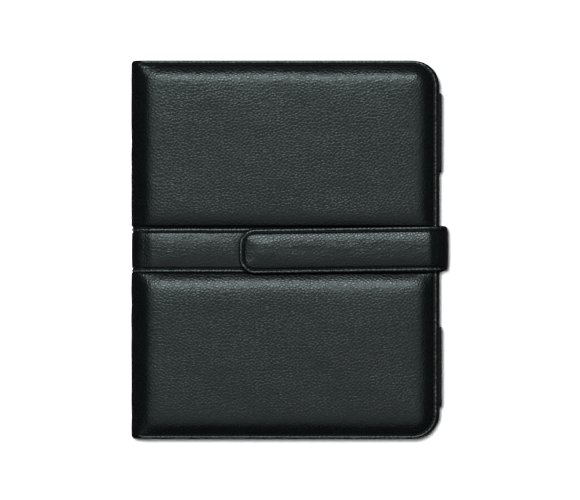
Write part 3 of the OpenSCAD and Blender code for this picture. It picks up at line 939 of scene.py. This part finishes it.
def make_strap():
    make_stretches(strap_stretch, strap_leather, "strap_leather", strap_path, (
        ("strap_low_fold", STRAP_START, STRAP_LOW, 24, ("back_cover", "strap_edge"), ()),
        ("strap_edge_skin", STRAP_LOW, -STRAP_FOLD, 34, ("strap_edge",),
         ("strap_edge_leather",)),
        ("strap_high_fold", -STRAP_FOLD, 0.0, 24, ("strap_edge", "strap_tab"), ())))
    tab = plate("strap_tab_skin", strap_path, on_front, TAB_LEN, TAB_HALF, TIP_R, TAB_GRID,
                tab_height, STRAP_LEATHER, strap_leather, strap_offset, sag=strap_slack)
    place(tab, ("strap_tab",), (), "strap_leather", "strap_tab_leather")
    core_half = BAND_HALF - 1.9
    low, high = box_mm("strap_stiffener")
    core = plate("strap_core_board", strap_path, on_front, X_STRAP_ARC - low[0], core_half, 9.0, 1.5,
                 lambda u, v: 0 * v - (Z_STRAP_TOP - high[2]) - strap_slack(u),
                 Z_STRAP_TOP - low[2], board, strap_offset, 0.0, Z_STRAP_TOP - high[2] + 0.05,
                 strap_slack)
    place(core, ("strap_tab",), (), "board", "strap_stiffener")


def strap_lining_stretch(name, s_from, s_to, steps, material):
    s = np.linspace(s_from, s_to, steps + 1)
    slack = strap_slack(s)
    return lining_stretch(name, strap_path, s, TAB_HALF - LINING_IN, -STRAP_LEATHER - slack,
                          -STRAP_T - slack, material, strap_offset)


def make_strap_linings():
    make_stretches(strap_lining_stretch, lining, "lining", strap_path, (
        ("strap_low_fold_lining", STRAP_START, STRAP_LOW, 16, ("back_cover", "strap_edge"), ()),
        ("strap_edge_lining", STRAP_LOW, -STRAP_FOLD, 16, ("strap_edge",),
         ("strap_edge_lining",)),
        ("strap_high_fold_lining", -STRAP_FOLD, 0.0, 16, ("strap_edge", "strap_tab"), ())))
    tab = plate("strap_tab_lining_skin", strap_path, on_front, TAB_LEN - LINING_IN,
                TAB_HALF - LINING_IN, TIP_R - LINING_IN, 1.5,
                lambda u, v: -STRAP_LEATHER - 0.02 - strap_slack(u), STRAP_T, lining,
                strap_offset, 0.0, STRAP_LEATHER + 0.1, strap_slack)
    place(tab, ("strap_tab",), (), "lining", "strap_tab_lining")


def make_fold_tapes():
    """Lining tapes inside the two folds, from one lining to the next"""
    front_face = TURNED_DEPTH + 0.6
    spine_face = SPINE_HEM + 0.6
    s = np.linspace(TAPE_LAP, -FOLD_LEN - 1.5, 33)
    share = smooth((0.5 - s) / (FOLD_LEN + 0.5))
    for label, places, bodies, ends in (
            ("high", s, ("spine", "front_cover"), (-FOLD_LEN, 0.0)),
            ("low", WRAP_END - s, ("back_cover", "spine"), (WRAP_END, WRAP_END + FOLD_LEN))):
        top = -(front_face + (spine_face - front_face) * share) - 0.03
        piece = lining_stretch(label + "_fold_tape", wrap_path, places, HALF_H - 1.2, top,
                               top - 0.35, lining)
        place(piece, bodies, (wrap_path, *ends), "lining")


def inside_path(s):
    x, z, nx, nz = wrap_path(s)
    return x, z, -nx, -nz


def make_inner_sheet(node, body, cover_face, ends, side_y, corner, spacing, fullness, material, slot):
    """A sewn sheet on the inside of a cover. ends are the x of its straight end, which is left
    open on a pocket, and of its end with two round corners"""
    low, high = box_mm(node)
    in_front = cover_face > Z_BACK_FACE
    outer, inner = [abs(z - cover_face) for z in ((high[2], low[2]) if in_front else
                                                  (low[2], high[2]))]
    x_from, x_to = ends
    sign = 1 if x_to > x_from else -1

    def s_of_u(u):
        s = x_from + sign * np.asarray(u, float) - X_ARC
        return s if in_front else WRAP_END - s

    def height(u, y):
        e = np.minimum(side_y - np.abs(y), abs(x_to - x_from) - u)
        soft = fullness * (0.6 + 0.4 * waves(u, y, 60, 61)) * smooth(e / 22)
        return inner + (soft + 0.03 * waves(u, y, 9, 62)) * smooth(e / 5)

    piece = plate(node + "_skin", inside_path, s_of_u, abs(x_to - x_from), side_y, corner, spacing,
                  height, -outer, material, lambda s: (low[1] + high[1]) / 2 + 0 * s, 0.4,
                  -(inner - 0.2))
    place(piece, (body,), (), slot, node)


def make_insides():
    for node, body, face, corner in (("front_lining", "front_cover", Z_FRONT_FACE, 16.2),
                                     ("back_lining", "back_cover", Z_BACK_FACE, 16.2)):
        low, high = box_mm(node)
        make_inner_sheet(node, body, face, (low[0], high[0] - 0.5), high[1], corner, 4.0, 0.0,
                         lining, "lining")
    for node in ("document_pocket", "card_pocket"):
        low, high = box_mm(node)
        half = (high[1] - low[1]) / 2
        make_inner_sheet(node, "front_cover", Z_FRONT_FACE, (high[0], low[0]), half, 6.0, 2.5, 0.3,
                         inner_leather, "inner_leather")
    s = np.linspace(-FOLD_LEN - 0.5, SPINE_FROM + 0.5, 14)
    low, high = box_mm("spine_lining")
    piece = lining_stretch("spine_lining_skin", wrap_path, s, high[1], X_SPINE - low[0],
                           X_SPINE - high[0], lining)
    place(piece, ("spine",), (), "lining", "spine_lining")


def make_stitches():
    sewn_outline("front_cover_stitches", wrap_path, on_front, FRONT_LEN, HALF_H, CORNER_R,
                 -STITCH_SUNK, "front_cover")
    sewn_outline("back_cover_stitches", wrap_path, on_back, BACK_LEN, HALF_H, CORNER_R,
                 -STITCH_SUNK, "back_cover")
    sewn_sides("front_band_stitches", wrap_path, 6.0, X_BAND_END - X_ARC - 2, BAND_HALF,
               1.1 - STITCH_SUNK, "front_cover", band_offset)
    sewn_sides("back_band_stitches", wrap_path, WRAP_END - (X_STRAP_ARC - X_ARC) + 2,
               WRAP_END - 10, BAND_HALF, Z_BACK_FACE - 0.25 - STITCH_SUNK, "back_cover",
               band_offset)
    sewn_outline("strap_tab_stitches", strap_path, on_front, TAB_LEN, TAB_HALF, TIP_R,
                 -STITCH_SUNK, "strap_tab", strap_offset, 14.0)
    sewn_sides("strap_edge_stitches", strap_path, STRAP_LOW, -STRAP_FOLD, TAB_HALF, -STITCH_SUNK,
               "strap_edge", strap_offset)
    for node in ("document_pocket", "card_pocket"):
        low, high = box_mm(node)
        sewn_frame(node + "_stitches", low, high, 5.0, low[2], -1, "front_cover")
    low, high = box_mm("holder_bezel")
    sewn_frame("holder_bezel_stitches", low, high, 12.0, high[2], 1, "back_cover")


def sew_walls():
    """Two rows of stitches along the outside of the holder's walls, above and below the slot"""
    for node, flat, out in (("holder_wall_top", 1, 1), ("holder_wall_bottom", 1, -1),
                            ("fore_wall_upper", 0, 1), ("fore_wall_lower", 0, 1)):
        low, high = box_mm(node)
        run = 1 - flat
        places = np.arange(low[run] + 4, high[run] - 3, STITCH_PITCH)
        for label, z in (("_low_stitches", low[2] + 2.0), ("_high_stitches", high[2] - 2.6)):
            points = np.full((len(places), 3), z)
            points[:, run] = places
            points[:, flat] = (high if out > 0 else low)[flat] - 0.05 * out
            after, normal = points.copy(), np.zeros_like(points)
            after[:, run] += STITCH_NEAR
            normal[:, flat] = out
            stitches(node + label, points, (points, after), normal, "back_cover")


def soften(node, width):
    """Rounds the cut edges of a CAD node"""
    bevel = node.modifiers.new("soft_edges", "BEVEL")
    bevel.width = width * MM
    bevel.segments = 2
    bevel.limit_method = "ANGLE"
    bevel.angle_limit = math.radians(40)


def finish_cad_nodes():
    for name in ("holder_wall_top", "holder_wall_bottom", "fore_wall_upper", "fore_wall_lower",
                 "holder_bezel"):
        soften(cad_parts[name], 0.4)
    looks = {"inner_leather": inner_leather, "lining": lining, "board": board, "foam": foam,
             "snap_metal": metal, "cover_leather": cover_leather, "strap_leather": strap_leather}
    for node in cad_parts.values():
        slot = node.data.materials[0].name.split(".")[0] if node.data.materials else ""
        if slot in looks:
            node.data.materials[0] = looks[slot]


# ---------------- studio
def light_only(light, floor, state):
    """Includes the floor as the only thing that a light reaches, or excludes it"""
    group = bpy.data.collections.new(light.name + "_receivers")
    group.objects.link(floor)
    group.collection_objects[0].light_linking.link_state = state
    light.light_linking.receiver_collection = group


def add_light(name, spot, size, power):
    """Soft rectangular light that shines at the middle of the case"""
    data = bpy.data.lights.new(name, "AREA")
    data.shape = "RECTANGLE"
    data.size, data.size_y = size
    data.energy = power
    light = bpy.data.objects.new(name, data)
    light.location = spot
    light.rotation_euler = (-Vector(spot)).to_track_quat("-Z", "Y").to_euler()
    bpy.context.scene.collection.objects.link(light)
    return light


def make_floor():
    half = 6.0
    mesh = bpy.data.meshes.new("floor")
    corners = [(-half, -half, 0), (half, -half, 0), (half, half, 0), (-half, half, 0)]
    mesh.from_pydata(corners, [], [(0, 1, 2, 3)])
    material, tree = new_material("floor_paper")
    shader = tree.nodes["Principled BSDF"]
    shader.inputs["Base Color"].default_value = (0.92, 0.92, 0.92, 1)
    shader.inputs["Roughness"].default_value = 0.9
    shader.inputs["Specular IOR Level"].default_value = 0.0
    mesh.materials.append(material)
    floor = bpy.data.objects.new("floor", mesh)
    floor.location.z = -0.0003
    floor.visible_glossy = False
    bpy.context.scene.collection.objects.link(floor)
    return floor


def make_studio():
    floor = make_floor()
    world = bpy.data.worlds.new("studio")
    bpy.context.scene.world = world
    world.use_nodes = True
    sky = world.node_tree.nodes["Background"]
    sky.inputs[0].default_value = (0.9, 0.95, 1, 1)
    sky.inputs[1].default_value = 0.05
    for name, spot, size, power, state in (
            ("key", (-0.3, 1.9, 4.1), (2.0, 0.95), 100, "EXCLUDE"),
            ("fill", (0.0, -0.45, 2.6), (3.0, 2.4), 11, "EXCLUDE"),
            ("floor_wash", (-0.32, 0.32, 4.0), (0.75, 0.75), 290, "INCLUDE")):
        light_only(add_light(name, spot, size, power), floor, state)


def make_camera():
    data = bpy.data.cameras.new("camera")
    data.sensor_width = 36
    data.lens = 740
    data.clip_end = 50
    camera = bpy.data.objects.new("camera", data)
    camera.location = (0, -0.00025, 8.0 + 0.027)
    bpy.context.scene.collection.objects.link(camera)
    bpy.context.scene.camera = camera
    bpy.context.scene.view_settings.view_transform = "Standard"


make_covers()
make_spine()
make_band()
make_strap()
make_strap_linings()
make_fold_tapes()
make_insides()
make_stitches()
sew_walls()
finish_cad_nodes()
make_studio()
make_camera()
